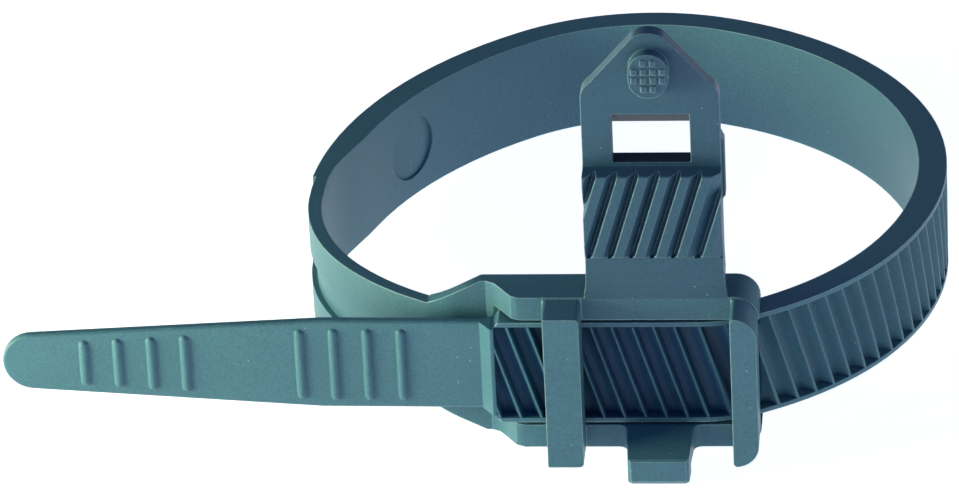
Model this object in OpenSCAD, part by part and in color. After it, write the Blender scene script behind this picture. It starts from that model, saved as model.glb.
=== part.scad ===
// Releasable cable tie with outside teeth, moulded in nylon, shown closed to a loop
// with its latch flap standing open.
// X runs along the strap through the head, Y runs into the loop, Z is the width of the strap.
// The origin is the middle of the saddle, the inner face of the head that the bundle lies on.

/* [Strap] */
// Width of the strap
strap_w = 9; // [7:0.1:12]
// Thickness of the toothed strap
strap_t = 2.3; // [1.9:0.05:3.2]
// Width of the plain rail along each edge of the teeth
rail_w = 0.4; // [0.3:0.05:1.2]
// Distance from one tooth to the next
tooth_pitch = 1.65; // [1.4:0.05:2.2]
// Depth of the teeth
tooth_depth = 1.1; // [0.8:0.05:1.4]
// Slant of the teeth, in degrees from straight across
tooth_slant = 17; // [8:0.5:22]
// Width of the flat crest of each tooth
crest_w = 0.22; // [0.2:0.02:0.4]
// Draft of the steep flank of each tooth
flank_draft = 0.1; // [0.05:0.01:0.2]
// Length of the toothed face that stands out past the head's walls on the tail side
tooth_lead = 2.1; // [1:0.1:8]
// Sideways place of the teeth against the middle of the head
tooth_phase = -0.6; // [-0.8:0.05:0.8]
// Depth, under the crests, of the fibre that keeps its length when the strap bends
fibre_depth = 2; // [1.2:0.05:2.2]

/* [Loop] */
// Length of the straight stretch from the middle of the head to the first bend
exit_x = 3.2; // [2:0.1:5]
// Radius where the strap leaves the head
r_exit = 9; // [7:0.5:14]
// Radius of the loop at the front right
r_front = 26.5; // [22:0.5:32]
// Radius of the loop on the right
r_right = 29; // [24:0.5:34]
// Radius of the loop at the back right
r_back = 28.5; // [24:0.5:34]
// Distance from the middle of the head to the bend where the root comes back to it
neck_left = 15.9; // [14.5:0.1:17]
// Radius of the root at the front left
r_flank = 19; // [15:0.5:24]
// Radius of the root beside the head
r_root = 24; // [18:0.5:32]
// Radius of the bend where the root joins the head
r_neck = 5.8; // [4:0.1:8]

/* [Root] */
// Thickness of the untoothed root
root_t = 1.1; // [0.9:0.05:1.6]
// Width of the channel in the outer face of the root
channel_w = 2.8; // [2:0.1:5]
// Depth of that channel
channel_d = 0.45; // [0.2:0.05:0.7]
// Step from the root up to the toothed face
root_step = 0.25; // [0.1:0.05:0.5]

/* [Tail] */
// Length of the tail past the last tooth
tail_l = 39; // [30:0.5:60]
// Thickness of the tail
tail_t = 0.65; // [0.5:0.05:0.9]
// Depth of the tail's face behind the crests of the teeth
tail_sink = 1.25; // [0.9:0.05:1.5]
// Bevel along the front edges of the tail
tail_bevel = 0.15; // [0.1:0.05:0.45]
// Width of the tail beside the teeth
tail_w = 7.8; // [6:0.1:9]
// Width of the tail at its tip
tail_tip_w = 4.9; // [3:0.1:7]
// Length of the parallel stretch before the taper
tail_parallel = 13.5; // [8:0.5:20]
// Lean of the tail toward the loop, in degrees
tail_lean = 1; // [0:0.1:2]
// Width of a grip rib
rib_w = 0.85; // [0.6:0.05:1]
// Height of a grip rib
rib_h = 0.28; // [0.2:0.02:0.4]
// Distance between two ribs
rib_pitch = 2.7; // [2.2:0.1:4]
// Ribs in each group
rib_count = 4; // [2:1:4]
// Distance from the last tooth to the first rib
rib_near = 7; // [4:0.5:9]
// Distance from the last tooth to the first rib of the second group
rib_far = 24.3; // [20:0.1:26]

/* [Head] */
// Height of the head, across the strap
head_h = 13.5; // [12.5:0.1:16]
// Depth of the head behind the strap's outer face
head_d = 3.9; // [3.7:0.05:5]
// Distance from the middle of the head to its right end
head_right = 8.05; // [7.5:0.05:10]
// Distance from the middle of the head to the end of its walls on the left
head_left = 10.8; // [10:0.1:13]
// Length of the slope that runs the walls down into the neck
mouth_l = 2.8; // [2:0.1:4]
// Distance from the middle of the head to the start of the neck's taper
taper_left = 14; // [13.7:0.1:15]
// Length of the neck's taper
taper_l = 4.4; // [3:0.1:6]
// Radius of the rounded end of the head
head_corner = 1.9; // [1:0.1:2.4]
// Room around the strap in the head
strap_play = 0.2; // [0.1:0.05:0.4]

/* [Bars] */
// Room between the two bars
bar_gap = 11.8; // [11.8:0.1:14]
// Depth of the bars in front of the head
bar_d = 3.45; // [3:0.05:5]
// Width of the left bar at its front
bar_left_w = 2.85; // [2:0.05:3.5]
// Width of the right bar at its front
bar_right_w = 2.1; // [1.6:0.05:2.2]
// Draft of the outer side of each bar
bar_draft = 0.2; // [0:0.05:0.4]
// Step from the end of the head down to the end of a bar
bar_step = 0.1; // [0.05:0.05:0.4]
// Radius of the corners of each bar's face
bar_corner = 0.35; // [0.1:0.05:0.6]

/* [Latch flap] */
// Width of the flap
flap_w = 10.8; // [9:0.1:11.4]
// Height of the hinge line above the end of the head
hinge_rise = 0.35; // [0.3:0.05:0.6]
// Thickness of the thinned hinge strip
hinge_t = 0.4; // [0.3:0.05:0.6]
// Gap that stands for the bend of the hinge strip
hinge_gap = 0.1; // [0.1:0.02:0.2]
// Back face of the flap behind the head's front
flap_back = 2.5; // [2.2:0.05:2.8]
// Distance that the flap's teeth stand out in front of the hinge strip
bite = 0.6; // [0.4:0.05:0.8]
// Length of the flap's teeth
flap_teeth_l = 7.1; // [5:0.1:7.2]
// Depth that the plate round the window lies behind the hinge strip
plate_y = 1.2; // [0.8:0.05:1.4]
// Height of the window
window_h = 2.75; // [2.6:0.05:3.2]
// Width of the window
window_w = 6.1; // [5.4:0.1:7]
// Distance from the window to the shoulder of the gable
shoulder_rise = 3.3; // [2.6:0.1:5]
// Height of the gable
gable_h = 5; // [4:0.1:7]
// Radius of the gable's tip
tip_r = 2.1; // [1.2:0.1:3]
// Radius of the gable's shoulders
shoulder_r = 1.6; // [0.6:0.1:2.5]
// Width of the thumb pad
pad_w = 3.1; // [2.4:0.1:4]
// Height of the thumb pad
pad_h = 3.8; // [3.2:0.1:4.4]
// Distance that the thumb pad stands out
pad_out = 1; // [0.4:0.1:1.1]
// Distance that the side nub stands out
nub_out = 0.28; // [0.1:0.02:0.3]
// Length of the side nub
nub_l = 5.3; // [3:0.1:6]
// Flare on each side of the flap where it meets the head
base_flare = 0.2; // [0.1:0.05:0.35]

/* [Catch] */
// Width of the catch
catch_w = 4.85; // [3.5:0.05:5]
// Draft of each side of the catch
catch_draft = 0.2; // [0:0.05:0.25]
// Radius of the fillet between the sides of the catch and the wall
catch_fillet_r = 0.7; // [0.3:0.05:0.8]
// Reach of the catch in front of the head
catch_reach = 4.3; // [4:0.05:4.8]
// Drop of the nose below the end of the head
nose_drop = 1.15; // [0.6:0.05:1.5]
// Room between the closed flap and the nose
nose_play = 0.15; // [0.1:0.05:0.3]
// Height of the front face of the nose
nose_face = 1.8; // [1.2:0.1:2.2]

/* [Ejector mark] */
// Diameter of the mark that an ejector pin leaves on the inner face of the loop
mark_dia = 5.6; // [4:0.1:7]
// Depth of that mark
mark_depth = 0.18; // [0.05:0.01:0.3]
// Distance along the strap from the middle of the head to the mark
mark_at = 98.8; // [60:0.1:105]

/* [Hidden] */
$fn = 48;
FACET = 3;                                      // degrees of turn from one facet of the loop to the next
front_y = -head_d;                              // front of the head and outer face of the teeth
slot_back = front_y + strap_t + strap_play;     // inner wall of the strap's slot
slot_h = strap_w + 2 * strap_play + 0.1;
tooth_half = strap_w / 2 - rail_w;              // half length of the teeth across the strap
slant_run = tan(tooth_slant);
wall_end = head_h / 2;

// The loop is a chain of arcs, followed on the outer face. The arcs at the back left and on the
// left close it: their radii are worked out so that the root comes back to the head.
neck_y = front_y + head_d - root_t;             // outer face of the root where it meets the head
turns = [26, 34, 45, 55, 55, 49, 6, 40, 20, 30];
fixed_r = [r_exit, r_front, r_right, r_back, 0, 0, 0, r_flank, r_root, r_neck];
ARCS = len(turns);
SHOULDER = 4;                                   // the arc at the back left
CLOSING = 5;                                    // the arc on the left, toothed, then the same arc as root
ROOT_FROM = 6;                                  // first arc of the root
neck_x = -neck_left;
function heading(i) = i == 0 ? 0 : heading(i - 1) + turns[i - 1];
function rise(i) = cos(heading(i)) - cos(heading(i + 1));
function run(i) = sin(heading(i + 1)) - sin(heading(i));
function fixed_rise(i = 0) = i == ARCS ? 0 : fixed_r[i] * rise(i) + fixed_rise(i + 1);
function fixed_run(i = 0) = i == ARCS ? 0 : fixed_r[i] * run(i) + fixed_run(i + 1);
rise_left = neck_y - root_step - front_y - fixed_rise();
run_left = neck_x - exit_x - fixed_run();
closing_rise = rise(CLOSING) + rise(CLOSING + 1);
closing_run = run(CLOSING) + run(CLOSING + 1);
closing_det = rise(SHOULDER) * closing_run - run(SHOULDER) * closing_rise;
r_shoulder = (rise_left * closing_run - run_left * closing_rise) / closing_det;
r_left = (rise(SHOULDER) * run_left - run(SHOULDER) * rise_left) / closing_det;
function radius(i) = fixed_r[i] > 0 ? fixed_r[i] : i == SHOULDER ? r_shoulder : r_left;
// Start point of arc i on the outer face
function corner(i) = i == 0 ? [exit_x, front_y] : corner(i - 1) + radius(i - 1) * [
    sin(heading(i)) - sin(heading(i - 1)), cos(heading(i - 1)) - cos(heading(i))];
function centre(i) = corner(i) + radius(i) * [-sin(heading(i)), cos(heading(i))];
// Length of an arc along the fibre that keeps its length; the crests outside it spread apart
function arc_l(i) = (radius(i) - fibre_depth) * turns[i] * PI / 180;

// Teeth are counted from the middle of the head
tooth_first = -head_left - tooth_lead;          // start of the toothed face, in x
START_SLOPE = 1.2;                              // from there to the end of the slope down to the tail
CREST_LEAD = 0.3;                               // from there to the top of that slope
THINS_FROM = 0.72;                              // share of the closing arc where the strap starts to thin
function toothed_l(i = 0) = i == ROOT_FROM ? 0 : arc_l(i) + toothed_l(i + 1);
slant_reach = tooth_half * slant_run;
first_k = floor((tooth_first - slant_reach - tooth_phase) / tooth_pitch);
last_k = floor((exit_x + toothed_l() - slant_reach - 2 * tooth_pitch - tooth_phase) / tooth_pitch);
// Teeth beyond this number are clear of the start of the toothed face
clear_k = ceil((tooth_first + slant_reach - tooth_phase) / tooth_pitch);

// Hinge line of the flap, in the plane just in front of the head
hinge_play = 0.05;
edge_play = 0.1;
hinge_y = front_y - hinge_play;
hinge_z = wall_end + hinge_rise;
teeth_top = hinge_z + flap_teeth_l / 2 + hinge_z;   // far end of the flap's teeth, open
teeth_low = teeth_top - flap_teeth_l;
// The closed window reaches just past the lower wall, so that its edge sits behind the nose
window_top = 2 * hinge_z + wall_end + edge_play;
window_low = window_top - window_h;
shoulder_z = window_top + shoulder_rise;
apex_z = shoulder_z + gable_h;

// Points of an arc, from angle a0 to angle a1
function arc(cx, cy, r, a0, a1, n = 8) = [
    for (i = [0:n]) [cx + r * cos(a0 + (a1 - a0) * i / n), cy + r * sin(a0 + (a1 - a0) * i / n)]];

// Lays a shape drawn in x and z flat on its front at y = 0 and gives it a depth along +Y
module along_y(depth) {
    rotate([90, 0, 0])
        translate([0, 0, -depth])
            linear_extrude(height = depth)
                children();
}

// Gives a shape drawn in y and z a width along X, centred on x = 0
module along_x(width) {
    rotate([90, 0, 90])
        translate([0, 0, -width / 2])
            linear_extrude(height = width)
                children();
}

// Depth of the strap's outer and inner face under the reference path, u of the way along arc i
function outer_depth(i) = i < ROOT_FROM ? 0 : root_step;
function thinned(u) = strap_t + (root_step + root_t - strap_t) * (1 - cos(180 * max(0, u))) / 2;
function inner_depth(i, u) = i < CLOSING ? strap_t
    : i == CLOSING ? thinned((u - THINS_FROM) / (1 - THINS_FROM))
    : root_step + root_t;
function on_arc(i, u, depth) = let (h = heading(i) + turns[i] * u)
    centre(i) + (radius(i) - depth) * [sin(h), -cos(h)];
function facets(i) = ceil(turns[i] / FACET);
function outer_face(from, to, more = 0) = [for (i = [from:to]) for (j = [0:facets(i)])
    on_arc(i, j / facets(i), outer_depth(i) + more)];
function inner_face(from, to) = [for (i = [to:-1:from]) for (j = [facets(i):-1:0])
    on_arc(i, j / facets(i), inner_depth(i, j / facets(i)))];

// Plan of the whole strap: straight through the head, round the loop and back as the root
module strap_plan() {
    start = [tooth_first - START_SLOPE, front_y + tail_sink];
    polygon(concat(
        [start, [tooth_first - CREST_LEAD, front_y]],
        outer_face(0, ARCS - 1),
        [[neck_x + 1, neck_y], [neck_x + 1, 0]],
        inner_face(0, ARCS - 1),
        [[tooth_first, front_y + strap_t], start + [0, tail_t]]));
}

// Distance along that fibre from the first bend to the start of arc i
function arc_before(i) = i == 0 ? 0 : arc_before(i - 1) + arc_l(i - 1);
function arc_at(s, i = 0) = i == ARCS - 1 || s - exit_x <= arc_before(i + 1) ? i : arc_at(s, i + 1);
function share_at(s, i) = (s - exit_x - arc_before(i)) / arc_l(i);

// Puts a shape on the outer face at distance s along the strap, X along it and Y inward
module at_length(s) {
    i = arc_at(s);
    u = share_at(s, i);
    translate(s < exit_x ? [s, front_y] : on_arc(i, u, 0))
        rotate([0, 0, s < exit_x ? 0 : heading(i) + turns[i] * u])
            children();
}

// Place of tooth k along the strap, and the distance from it to the next one on the outer face
function tooth_s(k) = tooth_phase + k * tooth_pitch;
function outer_arc_l(i) = radius(i) * turns[i] * PI / 180;
function outer_before(i) = i == 0 ? 0 : outer_before(i - 1) + outer_arc_l(i - 1);
function outer_s(s) = s <= exit_x ? s
    : let (i = arc_at(s)) exit_x + outer_before(i) + share_at(s, i) * outer_arc_l(i);
function spread_pitch(k) = outer_s(tooth_s(k + 1)) - outer_s(tooth_s(k));

// Groove between two teeth: a steep flank, then a hollow face up to the next crest
FLOOR_SHARE = 0.32;                             // share of the pitch where the hollow face starts
GROOVE_STEPS = 4;

module groove(pitch) {
    width = pitch - crest_w;
    from = FLOOR_SHARE * pitch;
    rotate([0, -tooth_slant, 0])
        linear_extrude(height = 2 * strap_w, center = true)
            polygon(concat(
                [[0, -0.5], [0, 0], [flank_draft, tooth_depth]],
                [for (i = [0:GROOVE_STEPS]) let (u = i / GROOVE_STEPS)
                    [from + u * (width - from), tooth_depth * (1 - u * u)]],
                [[width, -0.5]]));
}

module grooves() {
    intersection() {
        union() {
            intersection() {
                union()
                    for (k = [first_k:clear_k])
                        at_length(tooth_s(k))
                            groove(spread_pitch(k));
                translate([tooth_first, front_y - 1, -strap_w])
                    cube([4 * tooth_pitch + 2 * slant_reach, strap_t + 2, 2 * strap_w]);
            }
            for (k = [clear_k + 1:last_k])
                at_length(tooth_s(k))
                    groove(spread_pitch(k));
        }
        translate([-200, -200, -tooth_half])
            cube([400, 400, 2 * tooth_half]);
    }
}

// Strap with its teeth, and with the channel in the outer face of its root
module strap() {
    difference() {
        translate([0, 0, -strap_w / 2])
            linear_extrude(height = strap_w)
                strap_plan();
        grooves();
        for (side = [0, 1])
            mirror([0, 0, side])
                lead_shoulder();
        root_channel();
        ejector_mark();
    }
}

// Cut that keeps the slope at the start of the teeth as narrow as the tail
module lead_shoulder() {
    start = tooth_first - START_SLOPE;
    narrow_to = tooth_first - 0.1;
    full_from = tooth_first + 0.35;
    translate([0, front_y - 1, 0])
        along_y(strap_t + 2)
            polygon([
                [start - 1, tail_w / 2], [narrow_to, tail_w / 2], [full_from, strap_w / 2],
                [full_from, strap_w], [start - 1, strap_w]]);
}

// Round mark of an ejector pin on the inner face of the loop
module ejector_mark() {
    at_length(mark_at)
        translate([0, strap_t - mark_depth, 0])
            rotate([-90, 0, 0])
                cylinder(d = mark_dia, h = 2);
}

// Channel between the two rails of the root
module root_channel() {
    first = ROOT_FROM + 1;
    last = ARCS - 2;
    translate([0, 0, -channel_w / 2])
        linear_extrude(height = channel_w)
            polygon(concat(
                outer_face(first, last, -root_step - 1),
                [for (i = [last:-1:first]) for (j = [facets(i):-1:0])
                    on_arc(i, j / facets(i), root_step + channel_d)]));
}

// Tail: tapered blade with a round tip, bevelled front edges and two groups of grip ribs
tail_r = tail_tip_w / 2;
tail_round_x = tail_r - tail_l;                 // centre of the round tip, from the start of the tail
TAIL_ROOT = 0.4;                                // length of the tail inside the toothed strap
TIP_STEPS = 8;                                  // stretches of a quarter of the round tip
// Upper half of the tail's outline, from the teeth to the end of the tip
tail_edge = concat(
    [[TAIL_ROOT, tail_w / 2], [-tail_parallel, tail_w / 2]],
    arc(tail_round_x, 0, tail_r, 90, 180, TIP_STEPS));

module tail() {
    translate([tooth_first - 0.5, front_y + tail_sink, 0])
        rotate([0, 0, -tail_lean]) {
            difference() {
                along_y(tail_t)
                    polygon(concat(tail_edge,
                        [for (i = [len(tail_edge) - 2:-1:0]) [tail_edge[i][0], -tail_edge[i][1]]]));
                for (side = [0, 1])
                    mirror([0, 0, side])
                        for (i = [1:len(tail_edge) - 1])
                            edge_bevel(tail_edge[i], tail_edge[i - 1]);
            }
            for (start = [rib_near, rib_far])
                for (i = [0:rib_count - 1])
                    rib(-start - i * rib_pitch);
        }
}

// Cut along the front edge of the tail between two points of its outline
module edge_bevel(from, to) {
    way = to - from;
    past = 0.03;
    translate([from[0], 0, from[1]])
        rotate([0, -atan2(way[1], way[0]), 0])
            translate([-past, 0, 0])
                rotate([90, 0, 90])
                    linear_extrude(height = norm(way) + 2 * past)
                        polygon([[-1, -tail_bevel - 1], [-1, 1], [tail_bevel, 1], [tail_bevel, 0]]);
}

// Half width of the tail at a distance x before the last tooth
function tail_half(x) = x > -tail_parallel ? tail_w / 2
    : tail_w / 2 + (tail_r - tail_w / 2) * (x + tail_parallel) / (tail_round_x + tail_parallel);

// A grip rib across the tail, rounded along its length and at its ends
module rib(x) {
    r = rib_w / 2;
    edge_land = 0.65;
    half = tail_half(x) - edge_land - r;
    translate([x, r - rib_h, 0]) {
        cylinder(r = r, h = 2 * half, center = true);
        for (side = [-1, 1])
            translate([0, 0, side * half])
                sphere(r = r);
    }
}

// Outline of the head seen from the front, with its rounded end and the taper of its neck
module head_outline(inset = 0) {
    right = head_right - inset;
    top = wall_end - inset;
    neck = -taper_left - taper_l;
    polygon(concat(
        arc(right - head_corner, top - head_corner, head_corner, 90, 0),
        arc(right - head_corner, head_corner - top, head_corner, 0, -90),
        [[-taper_left, -top], [neck, -strap_w / 2], [neck, strap_w / 2], [-taper_left, top]]));
}

// Tall wall that carries the head's height into the bend of the root
module neck() {
    last = ARCS - 1;
    intersection() {
        translate([0, 0, -wall_end])
            linear_extrude(height = head_h)
                polygon(concat(
                    outer_face(last, last),
                    [[neck_x + 1, neck_y], [neck_x + 1, 0]],
                    inner_face(last, last)));
        translate([0, front_y, 0])
            along_y(head_d + r_neck)
                head_outline();
    }
}

// Body of the head: outer form, strap slot and the sloped mouth on the left
module head_body() {
    difference() {
        intersection() {
            translate([0, front_y, 0])
                along_y(head_d)
                    head_outline();
            translate([neck_x, front_y, -head_h])
                cube([head_right - neck_x + 1, head_d, 2 * head_h]);
        }
        translate([-60, front_y - 1, -slot_h / 2])
            cube([60 + head_right + 1, slot_back - front_y + 1, slot_h]);
        mouth_slope();
        exit_relief();
    }
}

// Cut that runs the walls from the front of the head down to the outer face of the neck
module mouth_slope() {
    deep = neck_y - front_y;
    translate([-head_left, front_y, -head_h])
        linear_extrude(height = 2 * head_h)
            polygon([
                [0, -1], [0, 0], [-0.25 * mouth_l, 0.12 * deep], [-0.5 * mouth_l, 0.5 * deep],
                [-0.75 * mouth_l, 0.86 * deep], [-mouth_l, deep], [-60, deep], [-60, -1]]);
}

// Room for the strap where it bends away at the right end of the head
module exit_relief() {
    clear = strap_t + strap_play;
    past = 0.5;
    translate([0, 0, -slot_h / 2])
        linear_extrude(height = slot_h)
            polygon(concat(
                [[exit_x, front_y]],
                [for (j = [0:facets(0)]) on_arc(0, j / facets(0), clear)],
                [for (j = [1:facets(1)]) on_arc(1, past * j / facets(1), clear)],
                [[on_arc(1, past, clear)[0], front_y]]));
}

// One bar across the front of the strap: inner face at x = inner, side is 1 right or -1 left
module bar(side, width) {
    inner = bar_gap / 2;
    back = front_y - strap_play / 2;
    intersection() {
        translate([0, front_y - bar_d - 1, 0])
            along_y(bar_d + 2)
                head_outline(bar_step);
        translate([0, front_y - bar_d - 1, 0])
            along_y(bar_d + 2)
                bar_face(side, width + bar_draft);
        translate([0, 0, -head_h])
            linear_extrude(height = 2 * head_h)
                polygon([
                    [side * inner, back], [side * inner, front_y - bar_d],
                    [side * (inner + width), front_y - bar_d],
                    [side * (inner + width + bar_draft), back]]);
    }
    for (end = [-1, 1])
        bar_foot(side, width, end);
}

// Face of a bar with its rounded corners
module bar_face(side, width) {
    low = side > 0 ? bar_gap / 2 : -bar_gap / 2 - width;
    near = low + bar_corner;
    far = low + width - bar_corner;
    top = wall_end - bar_step - bar_corner;
    polygon(concat(
        arc(far, top, bar_corner, 0, 90, 4),
        arc(near, top, bar_corner, 90, 180, 4),
        arc(near, -top, bar_corner, 180, 270, 4),
        arc(far, -top, bar_corner, 270, 360, 4)));
}

// Foot that carries a bar on the wall beside the slot
module bar_foot(side, width, end) {
    inner = bar_gap / 2;
    sunk = 0.5;                                 // depth of the foot inside the wall
    shy = 0.05;                                 // and its distance inside the bar's end
    intersection() {
        translate([0, front_y - strap_play, 0])
            along_y(strap_play + sunk)
                head_outline(bar_step + shy);
        translate([side > 0 ? inner : -inner - width - bar_draft, front_y - 1,
                   end > 0 ? slot_h / 2 : -head_h])
            cube([width + bar_draft, 1 + sunk, head_h - slot_h / 2]);
    }
}

// Catch: a hooked nose on the lower wall that the window of the flap snaps over
module catch() {
    closed_back = 2 * hinge_y - (front_y + flap_back);
    nose_back = closed_back - nose_play;
    front = front_y - catch_reach;
    nose_low = -wall_end - nose_drop;
    bevel = 0.45;
    face_top = nose_low + bevel + nose_face;
    difference() {
        intersection() {
            along_x(catch_w + 4)
                polygon([
                    [front_y + 1, -slot_h / 2], [front_y, -slot_h / 2],
                    [front + 0.15, face_top + 0.1], [front, face_top - 0.05],
                    [front, nose_low + bevel], [front + bevel, nose_low],
                    [nose_back - 0.1, nose_low], [nose_back, nose_low + 0.1],
                    [nose_back, -wall_end], [front_y + 1, -wall_end]]);
            translate([0, 0, -head_h])
                linear_extrude(height = head_h)
                    catch_plan(front);
        }
        for (side = [0, 1])
            mirror([side, 0, 0])
                nose_corner(front, nose_low);
    }
}

// Cut that takes the sharp lower corner off the side of the nose
module nose_corner(front, nose_low) {
    corner_cut = 0.35;
    past = catch_draft + 0.2;
    start = catch_w / 2 - corner_cut;
    translate([0, front - 1, 0])
        along_y(catch_reach)
            polygon([
                [start - past, nose_low - past], [catch_w / 2 + past, nose_low + corner_cut + past],
                [catch_w / 2 + past, nose_low - past]]);
}

// Plan of the catch: drafted sides that run out into the wall with a fillet
module catch_plan(front) {
    half = catch_w / 2;
    root = half + catch_draft;
    r = catch_fillet_r;
    edge = 0.25;
    side = concat(
        [[half - edge, front], [half, front + edge]],
        [for (i = [0:4]) [root + r * (1 - cos(i * 22.5)), front_y - r * (1 - sin(i * 22.5))]],
        [[root + r, front_y + 1]]);
    polygon(concat(side, [for (i = [len(side) - 1:-1:0]) [-side[i][0], side[i][1]]]));
}

// Half of the hinge strip that stays on the head
module hinge_stub() {
    top = hinge_z - hinge_gap / 2;
    half = flap_w / 2 + base_flare;
    translate([-half, front_y + hinge_play, wall_end - 0.5])
        cube([2 * half, hinge_t, top - wall_end + 0.5]);
}

module tie() {
    color("#23292e")
        union() {
            strap();
            tail();
            head_body();
            neck();
            bar(-1, bar_left_w);
            bar(1, bar_right_w);
            catch();
            hinge_stub();
        }
}

// Outline of the flap seen from the front
FLARE_H = 3.2;                                  // height of the flare at its foot
function flare_rise(i) = FLARE_H * (1 - cos(i * 22.5));

module flap_outline() {
    half = flap_w / 2;
    low = hinge_z + hinge_gap / 2;
    slope = atan2(gable_h - tip_r, half - tip_r * 0.7);
    run = half - shoulder_r;
    polygon(concat(
        [for (i = [4:-1:0]) [-half - base_flare * (1 - sin(i * 22.5)), low + flare_rise(i)]],
        [for (i = [0:4]) [half + base_flare * (1 - sin(i * 22.5)), low + flare_rise(i)]],
        arc(run, shoulder_z - shoulder_r * 0.4, shoulder_r, 0, 90 - slope * 0.9, 5),
        arc(0, apex_z - tip_r, tip_r, 90 - slope, 90 + slope, 8),
        arc(-run, shoulder_z - shoulder_r * 0.4, shoulder_r, 90 + slope * 0.9, 180, 5)));
}

// Side profile of the flap: hinge strip, thick foot, tooth block, then the thinner plate
module flap_profile() {
    low = hinge_z + hinge_gap / 2;
    body_low = hinge_z + 0.75;
    face = front_y;
    back = front_y + flap_back;
    block = front_y - bite;
    plate = front_y + plate_y;
    polygon([
        [face + hinge_play, low], [face + hinge_play + hinge_t, low],
        [face + hinge_play + hinge_t, body_low - 0.2], [back, body_low + 0.5],
        [back, apex_z + 1], [plate, apex_z + 1],
        [plate, teeth_top + 0.5], [plate - 0.15, teeth_top + 0.15], [plate - 0.5, teeth_top],
        [block + 0.1, teeth_top], [block, teeth_top - 0.1],
        [block, teeth_low], [face, teeth_low - 0.25], [face, body_low],
        [face + hinge_play, body_low - 0.3]]);
}

// Window with a bevelled upper edge that rides over the nose of the catch
module window() {
    plate = front_y + plate_y;
    back = front_y + flap_back;
    along_x(window_w)
        polygon([
            [front_y - bite - 1, teeth_top + 0.02], [back, window_low], [back + 1, window_low],
            [back + 1, window_top], [back, window_top],
            [plate, window_top + flap_back - plate_y],
            [front_y - bite - 1, window_top + flap_back - plate_y]]);
}

// Sideways place of the strap's tooth k in the head, where the strap may bend away already
function tooth_x(k) = let (s = tooth_s(k), i = arc_at(s)) s <= exit_x ? s
    : on_arc(i, share_at(s, i), 0)[0];

// Valleys between the flap's teeth, placed to receive the strap's teeth when the flap is closed
module valleys() {
    tooth_play = 0.12;
    half = flap_w / 2;
    count = ceil(half / tooth_pitch) + 2;
    depth = bite + 0.45;
    reach = sqrt(1 - (bite - 2 * hinge_play) / tooth_depth);
    intersection() {
        union()
            for (k = [-count:count])
                translate([tooth_x(k), front_y - bite, 2 * hinge_z])
                    valley(
                        tooth_play + (tooth_pitch - crest_w) * reach - 2 * tooth_play,
                        tooth_x(k + 1) - tooth_x(k) + tooth_play, depth);
        translate([-half - 1, front_y - bite - 1, teeth_low - 0.4])
            cube([flap_w + 2, depth + 2, flap_teeth_l + 1]);
    }
}

// One valley: it falls away from the land on its left and ends at a steep flank on its right
module valley(start, end, depth) {
    rotate([0, tooth_slant, 0])
        linear_extrude(height = 3 * flap_teeth_l, center = true)
            polygon([
                [start, -1], [start, 0], [start + 0.5 * (end - start), 0.55 * depth],
                [end - flank_draft - 0.12, depth], [end - flank_draft, depth - 0.1],
                [end, 0], [end, -1]]);
}

// Raised oval thumb pad near the tip, with rows of small grip pips
module thumb_pad() {
    plate = front_y + plate_y;
    past_tip = 0.75;                            // top of the pad above the centre of the tip's arc
    centre_z = apex_z - tip_r - pad_h / 2 + past_tip;
    r = pad_w / 2;
    rise = (pad_h - pad_w) / 2;
    pitch = 0.74;
    pip = 0.42;
    pip_out = 0.12;
    translate([0, plate - pad_out, centre_z])
        along_y(pad_out + 0.2)
            polygon(concat(arc(0, rise, r, 0, 180, 16), arc(0, -rise, r, 180, 360, 16)));
    for (row = [-1.5:1.5])
        for (col = [-1.5:1.5])
            if (norm([col * pitch, max(0, abs(row * pitch) - rise)]) < r - pip / 2)
                translate([
                    col * pitch - pip / 2, plate - pad_out - pip_out,
                    centre_z + row * pitch - pip / 2])
                    cube([pip, 2.5 * pip_out, 1.2 * pip]);
}

// Nub on the right side of the flap that keeps it snug between the bars
module nub() {
    half = flap_w / 2;
    low = teeth_top + 2.7 - nub_l;
    translate([0, front_y + plate_y + 0.1, 0])
        along_y(flap_back - plate_y - 0.2)
            polygon([
                [half - 0.5, low - 0.4], [half, low - 0.4], [half + nub_out, low],
                [half + nub_out, low + nub_l - 0.6], [half, low + nub_l], [half - 0.5, low + nub_l]]);
}

module latch_flap() {
    color("#262c31")
        union() {
            difference() {
                intersection() {
                    along_x(flap_w + 2 * base_flare)
                        flap_profile();
                    translate([0, front_y - 5, 0])
                        along_y(10)
                            flap_outline();
                }
                window();
                valleys();
            }
            thumb_pad();
            nub();
        }
}

tie();
latch_flap();
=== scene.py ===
"""Looks of a releasable nylon cable tie, closed to a loop with its latch flap standing open."""
import logging
import math
from dataclasses import dataclass, field
from enum import Enum
from typing import Any

import bmesh
import bpy
from mathutils import Matrix, Vector


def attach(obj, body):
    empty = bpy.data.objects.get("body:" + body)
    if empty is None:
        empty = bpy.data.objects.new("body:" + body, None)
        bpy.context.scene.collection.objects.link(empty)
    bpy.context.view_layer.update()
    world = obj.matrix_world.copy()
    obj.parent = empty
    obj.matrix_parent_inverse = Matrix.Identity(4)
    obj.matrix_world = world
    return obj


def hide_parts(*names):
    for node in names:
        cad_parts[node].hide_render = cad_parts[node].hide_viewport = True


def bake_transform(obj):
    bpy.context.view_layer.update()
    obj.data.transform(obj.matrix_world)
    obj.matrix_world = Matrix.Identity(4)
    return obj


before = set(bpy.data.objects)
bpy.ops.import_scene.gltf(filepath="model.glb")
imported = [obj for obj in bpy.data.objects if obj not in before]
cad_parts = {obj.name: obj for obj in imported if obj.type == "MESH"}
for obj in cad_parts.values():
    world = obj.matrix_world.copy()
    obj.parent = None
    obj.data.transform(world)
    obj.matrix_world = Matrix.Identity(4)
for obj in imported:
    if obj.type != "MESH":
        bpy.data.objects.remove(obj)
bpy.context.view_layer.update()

MM = 0.001
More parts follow.
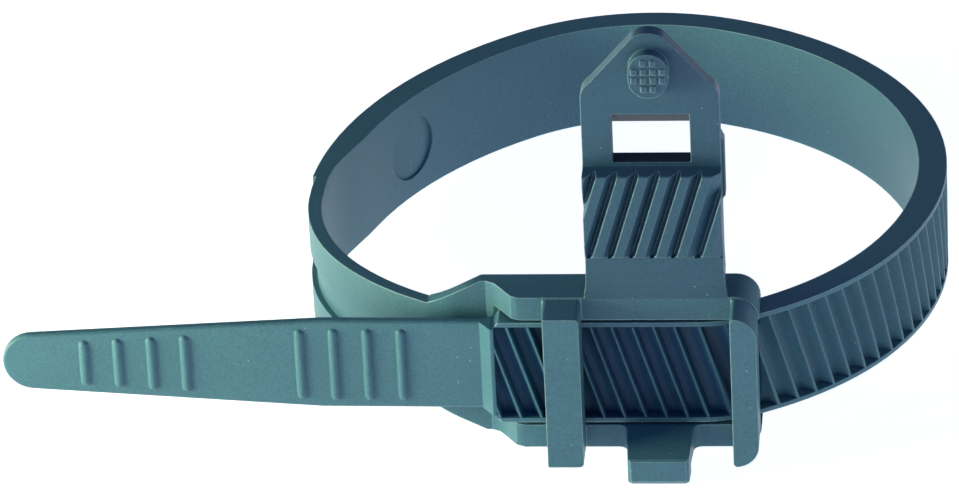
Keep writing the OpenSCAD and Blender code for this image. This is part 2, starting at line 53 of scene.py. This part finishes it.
log = logging.getLogger("cable_tie")


class Slot(Enum):
    """Material slots of the record."""

    STRAP = "nylon_strap"
    FLAP = "nylon_flap"


class Body(Enum):
    """Bodies that pieces ride on."""

    TIE = "tie"
    FLAP = "flap"


def linear(hex_colour: str) -> tuple[float, float, float, float]:
    """Turns an sRGB hex colour into linear values.

    Args:
        hex_colour: Colour as #rrggbb.

    Returns:
        Linear red, green, blue and an alpha of 1.
    """
    values = [int(hex_colour[i:i + 2], 16) / 255 for i in (1, 3, 5)]
    red, green, blue = (v / 12.92 if v <= 0.04045 else ((v + 0.055) / 1.055) ** 2.4
                        for v in values)
    return red, green, blue, 1.0


def add_node(tree: bpy.types.NodeTree, kind: str, settings: dict[str, Any] | None = None,
             **inputs: Any) -> bpy.types.Node:
    """Adds a node with its settings, its socket values and its links.

    Args:
        tree: Node tree that gets the node.
        kind: Blender's type name of the node.
        settings: Attributes of the node.
        **inputs: Socket name, or i and the socket's number, with a value or an output socket.

    Returns:
        The new node.
    """
    node = tree.nodes.new(kind)
    for name, value in (settings or {}).items():
        setattr(node, name, value)
    for name, value in inputs.items():
        key = int(name[1:]) if name[0] == "i" and name[1:].isdigit() else name.replace("_", " ")
        if isinstance(value, bpy.types.NodeSocket):
            tree.links.new(value, node.inputs[key])
        else:
            node.inputs[key].default_value = value
    return node


def new_material(name: str) -> tuple[bpy.types.Material, bpy.types.NodeTree]:
    """Makes an empty node material.

    Args:
        name: Name of the material.

    Returns:
        The material and its empty node tree.
    """
    material = bpy.data.materials.new(name)
    material.use_nodes = True
    material.node_tree.nodes.clear()
    return material, material.node_tree


@dataclass(frozen=True)
class MouldedNylon:
    """Black nylon 6.6, injection moulded in a spark-eroded tool.

    The eroded wall leaves an even, fine satin grain that scatters light in the flats. Edges
    get a painted pale highlight line, and the hollows get painted shade, darker than the flats.
    """

    name: str
    flat: str = "#538290"
    mottle: str = "#48717d"
    # painted shade: a darker colour for the hollows, where shade falls
    painted_hollow_shade: str = "#315874"
    # painted highlight: pale colour put on edges for the light they catch
    edge: str = "#b4dad8"
    ior: float = 1.53
    specular: float = 0.22          # the eroded grain shadows part of its own gloss
    roughness_low: float = 0.36
    roughness_high: float = 0.52
    grain_mm: float = 0.22          # the real grain is about 0.05 mm, drawn coarser to show
    grain_depth_mm: float = 0.006
    grain_low: float = 0.3          # values of the grain that give the two roughnesses
    grain_high: float = 0.7
    grain_gain: float = 2.2         # contrast of the grain between mottle and flat
    grain_shift: float = -0.9
    cloud_mm: float = 7.0           # flow of the melt along the strap
    cloud_share: float = 0.6
    edge_radius_mm: float = 0.14
    highlight_full: float = 0.75         # cosine of the turn that gives an edge its full painted highlight
    highlight_gain: float = 3.0
    highlight_most: float = 0.8
    tooth_half_mm: float = 4.15     # half height of the toothed field, whose crests get no painted highlight
    tooth_front_mm: float = -4.05
    painted_shade_low_mm: tuple[float, float, float] = (-13.2, -4.05, -4.15)    # box of the painted shade
    painted_shade_high_mm: tuple[float, float, float] = (8.0, -1.5, 4.15)
    painted_shade_ramp_mm: float = 0.6     # depth at which the painted shade is full
    speck_every_mm: float = 1.0     # specks of dust
    speck_mm: float = 0.07
    speck_core: float = 0.6         # part of a speck's radius that has its full share
    speck_most: float = 0.6
    speck_kept: float = 0.35        # part of the cells that hold a speck

    def material(self) -> bpy.types.Material:
        """Builds the node material.

        Returns:
            The finished material.
        """
        material, tree = new_material(self.name)
        place = add_node(tree, "ShaderNodeTexCoord").outputs["Object"]
        grain = add_node(tree, "ShaderNodeTexNoise", Vector=place, Scale=1 / (self.grain_mm * MM),
                         Detail=3.0, Roughness=0.6).outputs["Fac"]
        base = self.base_colour(tree, place, grain)
        rounded = add_node(tree, "ShaderNodeBevel", {"samples": 8},
                           Radius=self.edge_radius_mm * MM).outputs["Normal"]
        # the pale colour is painted highlight on edges, and real dust in the specks
        pale = add_node(tree, "ShaderNodeMath", {"operation": "MAXIMUM"},
                        i0=self.painted_highlight_share(tree, rounded, grain, place),
                        i1=self.speck_share(tree, place)).outputs[0]
        colour = add_node(tree, "ShaderNodeMix", {"data_type": "RGBA"}, i0=pale,
                          i6=base, i7=linear(self.edge)).outputs[2]
        roughness = add_node(tree, "ShaderNodeMapRange", Value=grain,
                             i1=self.grain_low, i2=self.grain_high,
                             i3=self.roughness_low, i4=self.roughness_high).outputs[0]
        bump = add_node(tree, "ShaderNodeBump", Strength=1.0, Distance=self.grain_depth_mm * MM,
                        Height=grain, Normal=rounded).outputs["Normal"]
        shader = add_node(tree, "ShaderNodeBsdfPrincipled", Base_Color=colour, Roughness=roughness,
                          IOR=self.ior, Specular_IOR_Level=self.specular,
                          Normal=bump).outputs["BSDF"]
        add_node(tree, "ShaderNodeOutputMaterial", Surface=shader)
        return material

    def base_colour(self, tree: bpy.types.NodeTree, place: bpy.types.NodeSocket,
                    grain: bpy.types.NodeSocket) -> bpy.types.NodeSocket:
        """Colour of the flats with their clouds and grain, and the painted shade of the hollows.

        Args:
            tree: Node tree of the material.
            place: Object coordinates.
            grain: Noise of the grain.

        Returns:
            Socket with the colour.
        """
        cloud = add_node(tree, "ShaderNodeTexNoise", Vector=place, Scale=1 / (self.cloud_mm * MM),
                         Detail=2.0, Roughness=0.5).outputs["Fac"]
        blend = add_node(tree, "ShaderNodeMath", {"operation": "MULTIPLY_ADD"},
                         i0=grain, i1=self.grain_gain, i2=self.grain_shift).outputs[0]
        share = add_node(tree, "ShaderNodeMath", {"operation": "MULTIPLY_ADD", "use_clamp": True},
                         i0=cloud, i1=self.cloud_share, i2=blend).outputs[0]
        flats = add_node(tree, "ShaderNodeMix", {"data_type": "RGBA"}, i0=share,
                         i6=linear(self.mottle), i7=linear(self.flat)).outputs[2]
        # painted shade: the darker colour goes into the hollows' box
        return add_node(tree, "ShaderNodeMix", {"data_type": "RGBA"},
                        i0=self.painted_shade_share(tree, place), i6=flats,
                        i7=linear(self.painted_hollow_shade)).outputs[2]

    def tooth_field(self, tree: bpy.types.NodeTree,
                    place: bpy.types.NodeSocket) -> bpy.types.NodeSocket:
        """Tells the toothed field between the strap's rails.

        Args:
            tree: Node tree of the material.
            place: Object coordinates.

        Returns:
            Socket with 1 in the field and 0 elsewhere.
        """
        axes = add_node(tree, "ShaderNodeSeparateXYZ", Vector=place).outputs
        height = add_node(tree, "ShaderNodeMath", {"operation": "ABSOLUTE"}, i0=axes["Z"])
        within = add_node(tree, "ShaderNodeMath", {"operation": "LESS_THAN"},
                          i0=height.outputs[0], i1=self.tooth_half_mm * MM)
        behind = add_node(tree, "ShaderNodeMath", {"operation": "GREATER_THAN"},
                          i0=axes["Y"], i1=self.tooth_front_mm * MM)
        return add_node(tree, "ShaderNodeMath", {"operation": "MULTIPLY"},
                        i0=within.outputs[0], i1=behind.outputs[0]).outputs[0]

    def painted_shade_share(self, tree: bpy.types.NodeTree,
                     place: bpy.types.NodeSocket) -> bpy.types.NodeSocket:
        """Share of the painted shade, a darker colour, in the hollows.

        Args:
            tree: Node tree of the material.
            place: Object coordinates.

        Returns:
            Socket with the share, which grows to 1 from the front of the painted shade's box.
        """
        axes = add_node(tree, "ShaderNodeSeparateXYZ", Vector=place).outputs
        share = add_node(tree, "ShaderNodeMapRange", Value=axes["Y"], i3=0.0, i4=1.0,
                         i1=self.painted_shade_low_mm[1] * MM,
                         i2=(self.painted_shade_low_mm[1] + self.painted_shade_ramp_mm) * MM).outputs[0]
        for axis, low, high in zip("XYZ", self.painted_shade_low_mm, self.painted_shade_high_mm):
            over = add_node(tree, "ShaderNodeMath", {"operation": "GREATER_THAN"},
                            i0=axes[axis], i1=low * MM).outputs[0]
            under = add_node(tree, "ShaderNodeMath", {"operation": "LESS_THAN"},
                             i0=axes[axis], i1=high * MM).outputs[0]
            for limit in (over, under):
                share = add_node(tree, "ShaderNodeMath", {"operation": "MULTIPLY"},
                                 i0=share, i1=limit).outputs[0]
        return share

    def speck_share(self, tree: bpy.types.NodeTree,
                    place: bpy.types.NodeSocket) -> bpy.types.NodeSocket:
        """Share of the pale colour in sparse specks of dust.

        Args:
            tree: Node tree of the material.
            place: Object coordinates.

        Returns:
            Socket with the share from 0 to speck_most.
        """
        cell = add_node(tree, "ShaderNodeTexVoronoi", Vector=place,
                        Scale=1 / (self.speck_every_mm * MM)).outputs
        size = self.speck_mm / self.speck_every_mm
        dot = add_node(tree, "ShaderNodeMapRange", Value=cell["Distance"],
                       i1=self.speck_core * size, i2=size,
                       i3=self.speck_most, i4=0.0).outputs[0]
        kept = add_node(tree, "ShaderNodeSeparateColor", Color=cell["Color"]).outputs["Red"]
        kept = add_node(tree, "ShaderNodeMath", {"operation": "LESS_THAN"},
                        i0=kept, i1=self.speck_kept)
        return add_node(tree, "ShaderNodeMath", {"operation": "MULTIPLY"},
                        i0=dot, i1=kept.outputs[0]).outputs[0]

    def painted_highlight_share(self, tree: bpy.types.NodeTree, rounded: bpy.types.NodeSocket,
                   grain: bpy.types.NodeSocket,
                   place: bpy.types.NodeSocket) -> bpy.types.NodeSocket:
        """Share of the painted edge highlight, from how far the rounded normal leaves the flat one.

        Args:
            tree: Node tree of the material.
            rounded: Normal with rounded edges.
            grain: Grain that breaks the painted highlight up a little.
            place: Object coordinates, as the toothed field has no painted highlight.

        Returns:
            Socket with the share of painted highlight from 0 to highlight_most.
        """
        flat = add_node(tree, "ShaderNodeNewGeometry").outputs["Normal"]
        likeness = add_node(tree, "ShaderNodeVectorMath", {"operation": "DOT_PRODUCT"},
                            i0=rounded, i1=flat).outputs["Value"]
        turn = add_node(tree, "ShaderNodeMapRange", Value=likeness, i1=1.0, i2=self.highlight_full,
                        i3=0.0, i4=self.highlight_gain).outputs[0]
        outside = add_node(tree, "ShaderNodeMath", {"operation": "SUBTRACT"},
                           i0=1.0, i1=self.tooth_field(tree, place)).outputs[0]
        line = add_node(tree, "ShaderNodeMath", {"operation": "MULTIPLY"},
                        i0=turn, i1=grain).outputs[0]
        line = add_node(tree, "ShaderNodeMath", {"operation": "MULTIPLY"},
                        i0=line, i1=outside).outputs[0]
        return add_node(tree, "ShaderNodeMath", {"operation": "MINIMUM"},
                        i0=line, i1=self.highlight_most).outputs[0]


@dataclass(frozen=True)
class WhiteCard:
    """Opal white top of a light table, which keeps a pale shadow and is otherwise seen as white."""

    name: str
    colour: str = "#e8eaea"
    tube: str = "#f1ecff"    # colour of the light below it
    glow: float = 0.86       # light that the opal top gives to what lies on it
    lift: float = 0.9        # the same as the camera and reflections see it

    def material(self) -> bpy.types.Material:
        """Builds the node material.

        Returns:
            The finished material.
        """
        material, tree = new_material(self.name)
        card = add_node(tree, "ShaderNodeBsdfDiffuse", Color=linear(self.colour)).outputs[0]
        path = add_node(tree, "ShaderNodeLightPath").outputs
        seen = add_node(tree, "ShaderNodeMath", {"operation": "MAXIMUM"},
                        i0=path["Is Camera Ray"], i1=path["Is Transmission Ray"]).outputs[0]
        seen = add_node(tree, "ShaderNodeMath", {"operation": "MAXIMUM"},
                        i0=seen, i1=path["Is Glossy Ray"]).outputs[0]
        strength = add_node(tree, "ShaderNodeMapRange", Value=seen, i3=self.glow, i4=self.lift)
        tint = add_node(tree, "ShaderNodeMix", {"data_type": "RGBA"}, i0=seen,
                        i6=linear(self.tube), i7=linear("#ffffff")).outputs[2]
        light = add_node(tree, "ShaderNodeEmission", Color=tint,
                         Strength=strength.outputs[0]).outputs[0]
        both = add_node(tree, "ShaderNodeAddShader", i0=card, i1=light).outputs[0]
        add_node(tree, "ShaderNodeOutputMaterial", Surface=both)
        return material


@dataclass
class Moulding:
    """One moulded piece, made from its CAD solid with clean, smooth shading."""

    node: str
    body: Body
    slot: Slot
    finish: MouldedNylon
    weld_mm: float = 0.0005     # points nearer than this are one
    flat_deg: float = 0.2       # faces that turn less are one flat face
    sharp_deg: float = 28.0     # edges that turn more are shaded as sharp

    def build(self) -> bpy.types.Object:
        """Copies the solid's mesh, joins its flat faces and marks its sharp edges.

        Returns:
            The new object, which stands for the CAD node.
        """
        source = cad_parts[self.node]
        mesh = bpy.data.meshes.new(f"{self.node}_moulding")
        shape = bmesh.new()
        shape.from_mesh(source.data)
        bmesh.ops.remove_doubles(shape, verts=shape.verts, dist=self.weld_mm * MM)
        bmesh.ops.dissolve_limit(shape, angle_limit=math.radians(self.flat_deg),
                                 verts=shape.verts, edges=shape.edges)
        sharp = math.radians(self.sharp_deg)
        for face in shape.faces:
            face.smooth = True
        for edge in shape.edges:
            edge.smooth = edge.is_manifold and edge.calc_face_angle() < sharp
        shape.to_mesh(mesh)
        shape.free()
        piece = bpy.data.objects.new(f"{self.node}_moulding", mesh)
        bpy.context.scene.collection.objects.link(piece)
        piece.modifiers.new("flat_faces", "WEIGHTED_NORMAL").keep_sharp = True
        return piece

    def dress(self, piece: bpy.types.Object) -> None:
        """Gives the piece its finish and its place among the bodies.

        Args:
            piece: Object that build returned.
        """
        piece.data.materials.clear()
        piece.data.materials.append(self.finish.material())
        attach(piece, self.body.value)
        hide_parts(self.node)

    def make(self) -> bpy.types.Object:
        """Builds and dresses the piece.

        Returns:
            The finished object.
        """
        piece = self.build()
        self.dress(piece)
        log.info("%s: %d faces", piece.name, len(piece.data.polygons))
        return piece


@dataclass
class HingeStrip:
    """Thinned strip of nylon that the latch flap folds on, flush with the head and the flap."""

    half_width_mm: float = 5.41
    flare_mm: float = 0.2           # the flap's foot widens by this much each side
    flare_high_mm: float = 3.2
    foot_mm: float = 7.15
    axis_y_mm: float = -3.95
    axis_z_mm: float = 7.1
    front_y_mm: float = -3.9
    proud_mm: float = 0.012         # stands this far out, and sinks in as far at its ends
    back_y_mm: float = -3.44
    back_step_mm: float = 0.03      # the ends are this much thinner, inside their neighbours
    low_mm: float = 6.45
    high_mm: float = 8.05
    feather_mm: float = 0.4         # height over which the ends sink in
    bend_mm: float = 0.3            # half height of the stretch that bends
    rows: int = 24

    def half_width(self, height: float) -> float:
        """Half width of the flap's flared foot at a height in millimetres.

        Args:
            height: Height above the strap's middle.

        Returns:
            Half width in millimetres.
        """
        rest = 1 - min(1.0, max(0.0, (height - self.foot_mm) / self.flare_high_mm))
        return self.half_width_mm + self.flare_mm * (1 - math.sqrt(1 - rest * rest))

    def section(self) -> list[tuple[float, float, float]]:
        """Front and back of the strip up its height.

        Returns:
            Height, front and back in millimetres, from the foot to the top.
        """
        points = []
        for row in range(self.rows + 1):
            height = self.low_mm + (self.high_mm - self.low_mm) * row / self.rows
            inner = min(height - self.low_mm, self.high_mm - height) / self.feather_mm
            front = self.front_y_mm - self.proud_mm * (2 * min(1.0, inner) - 1)
            bends = abs(height - self.axis_z_mm) < self.bend_mm
            back = self.back_y_mm if bends else self.back_y_mm - self.back_step_mm
            points.append((height, front, back))
        return points

    def make(self, finish: bpy.types.Material) -> bpy.types.Object:
        """Builds the strip between the head and the flap.

        Args:
            finish: Material of the flap.

        Returns:
            The finished object.
        """
        shape = bmesh.new()
        rings = []
        for height, front, back in self.section():
            corners = ((-1, front), (1, front), (1, back), (-1, back))
            half = self.half_width(height)
            rings.append([shape.verts.new(Vector((side * half, y, height)) * MM)
                          for side, y in corners])
        for low, high in zip(rings, rings[1:]):
            for i in range(4):
                shape.faces.new((low[i], low[(i + 1) % 4], high[(i + 1) % 4], high[i]))
        shape.faces.new(rings[0][::-1])
        shape.faces.new(rings[-1])
        bmesh.ops.recalc_face_normals(shape, faces=shape.faces)
        mesh = bpy.data.meshes.new("hinge_strip")
        shape.to_mesh(mesh)
        shape.free()
        strip = bpy.data.objects.new("hinge_strip", mesh)
        bpy.context.scene.collection.objects.link(strip)
        mesh.materials.append(finish)
        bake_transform(strip)
        log.info("%s: %d faces", strip.name, len(mesh.polygons))
        return strip


@dataclass
class Softbox:
    """Square soft light that points at the tie."""

    name: str
    azimuth_deg: float
    elevation_deg: float
    power_w: float
    side_mm: float = 420.0
    distance_mm: float = 650.0
    colour: str = "#ffffff"

    def make(self, target: Vector) -> bpy.types.Object:
        """Places the light.

        Args:
            target: Point that the light faces, in metres.

        Returns:
            The light.
        """
        lamp = bpy.data.lights.new(self.name, "AREA")
        lamp.energy = self.power_w
        lamp.size = self.side_mm * MM
        lamp.color = linear(self.colour)[:3]
        azimuth = math.radians(self.azimuth_deg)
        elevation = math.radians(self.elevation_deg)
        way = Vector((math.sin(azimuth) * math.cos(elevation),
                      -math.cos(azimuth) * math.cos(elevation), math.sin(elevation)))
        light = bpy.data.objects.new(self.name, lamp)
        light.location = target + way * self.distance_mm * MM
        light.rotation_euler = way.to_track_quat("Z", "Y").to_euler()
        bpy.context.scene.collection.objects.link(light)
        return light


@dataclass
class Studio:
    """White table top under the tie, soft lights and a pale blue surround."""

    catch_y_mm: float = -8.0
    catch_low_mm: float = -7.9
    rim_y_mm: float = 50.2
    rim_low_mm: float = -4.5
    table_mm: float = 4000.0
    surround: str = "#b5c4ff"
    surround_strength: float = 0.165
    lights: list[Softbox] = field(default_factory=lambda: [
        Softbox("left_light", -66, 8, 0.38, side_mm=70, distance_mm=160, colour="#f7ffd4"),
        Softbox("right_light", 78, 7, 0.15, side_mm=120, distance_mm=300, colour="#f2fff2"),
        Softbox("back_light", 160, 30, 0.06, colour="#e4efff"),
        Softbox("sky_light", -10, 62, 0.3, colour="#629aff"),
    ])

    def tilt(self) -> float:
        """Lean of the tie on the table, from its catch to the far rim of its loop, in radians."""
        return math.atan2(self.rim_low_mm - self.catch_low_mm, self.rim_y_mm - self.catch_y_mm)

    def make_table(self) -> None:
        """Lays the table top under the catch and the far rim."""
        shape = bmesh.new()
        bmesh.ops.create_grid(shape, x_segments=1, y_segments=1, size=self.table_mm * MM / 2)
        mesh = bpy.data.meshes.new("table_top")
        shape.to_mesh(mesh)
        shape.free()
        table = bpy.data.objects.new("table_top", mesh)
        table.location = Vector((0, self.catch_y_mm, self.catch_low_mm)) * MM
        table.rotation_euler = (self.tilt(), 0, 0)
        mesh.materials.append(WhiteCard("white_card").material())
        bpy.context.scene.collection.objects.link(table)

    def make_surround(self) -> None:
        """Sets the world: even pale blue light, which the camera sees as white."""
        world = bpy.data.worlds.new("surround")
        bpy.context.scene.world = world
        world.use_nodes = True
        tree = world.node_tree
        tree.nodes.clear()
        path = add_node(tree, "ShaderNodeLightPath").outputs
        seen = add_node(tree, "ShaderNodeMath", {"operation": "MAXIMUM"},
                        i0=path["Is Camera Ray"], i1=path["Is Transmission Ray"]).outputs[0]
        light = add_node(tree, "ShaderNodeBackground", Color=linear(self.surround),
                         Strength=self.surround_strength).outputs[0]
        white = add_node(tree, "ShaderNodeBackground", Color=linear("#ffffff"),
                         Strength=1.0).outputs[0]
        both = add_node(tree, "ShaderNodeMixShader", i0=seen, i1=light, i2=white).outputs[0]
        add_node(tree, "ShaderNodeOutputWorld", Surface=both)

    def make(self, target: Vector) -> None:
        """Builds the studio round the tie.

        Args:
            target: Point that the lights face, in metres.
        """
        self.make_table()
        self.make_surround()
        for softbox in self.lights:
            softbox.make(target)


@dataclass
class PhotoCamera:
    """Long lens at the photograph's place, found by fitting the edges of the loop."""

    aim_mm: tuple[float, float, float] = (-16.53, 26.1, -5.17)
    azimuth_deg: float = -5.482
    elevation_deg: float = 28.507
    roll_deg: float = -2.869
    distance_mm: float = 600.0
    lens_mm: float = 271.5
    sensor_mm: float = 36.0
    near_mm: float = 10.0

    def make(self) -> bpy.types.Object:
        """Places the camera and makes it the scene's.

        Returns:
            The camera.
        """
        azimuth, elevation, roll = (math.radians(v) for v in
                                    (self.azimuth_deg, self.elevation_deg, self.roll_deg))
        forward = Vector((math.sin(azimuth) * math.cos(elevation),
                          math.cos(azimuth) * math.cos(elevation), -math.sin(elevation)))
        level = Vector((math.cos(azimuth), -math.sin(azimuth), 0))
        up = level.cross(forward)
        right = level * math.cos(roll) + up * math.sin(roll)
        top = up * math.cos(roll) - level * math.sin(roll)
        place = Vector(self.aim_mm) * MM - forward * self.distance_mm * MM
        data = bpy.data.cameras.new("camera")
        data.lens = self.lens_mm
        data.sensor_width = self.sensor_mm
        data.clip_start = self.near_mm * MM
        camera = bpy.data.objects.new("camera", data)
        turn = Matrix((right, top, -forward)).transposed().to_4x4()
        camera.matrix_world = Matrix.Translation(place) @ turn
        bpy.context.scene.collection.objects.link(camera)
        bpy.context.scene.camera = camera
        return camera


def main() -> None:
    """Builds the camera, the pieces and the studio, and reports each piece."""
    logging.basicConfig(level=logging.INFO, format="%(name)s: %(message)s")
    camera = PhotoCamera()
    camera.make()
    strap_nylon = MouldedNylon("moulded_nylon_strap")
    # Painted shade: darker nylon on the whole flap, darker still on its window's walls
    flap_nylon = MouldedNylon(
        # painted shade: flat and mottle darker than the strap's, though it is the same nylon
        "moulded_nylon_flap", flat="#446c80", mottle="#3c5f70", highlight_gain=1.2,
        # painted shade on the window's walls, in the box below
        painted_hollow_shade="#1c3345", painted_shade_ramp_mm=0.05,
        painted_shade_low_mm=(-3.2, -2.66, 18.1), painted_shade_high_mm=(3.2, -1.44, 22.5))
    parts = [
        Moulding("tie", Body.TIE, Slot.STRAP, strap_nylon),
        Moulding("latch_flap", Body.FLAP, Slot.FLAP, flap_nylon),
    ]
    pieces = [part.make() for part in parts]
    HingeStrip().make(pieces[-1].active_material)
    Studio().make(Vector(camera.aim_mm) * MM)
    bpy.context.scene.view_settings.view_transform = "Standard"


if __name__ == "__main__":
    main()
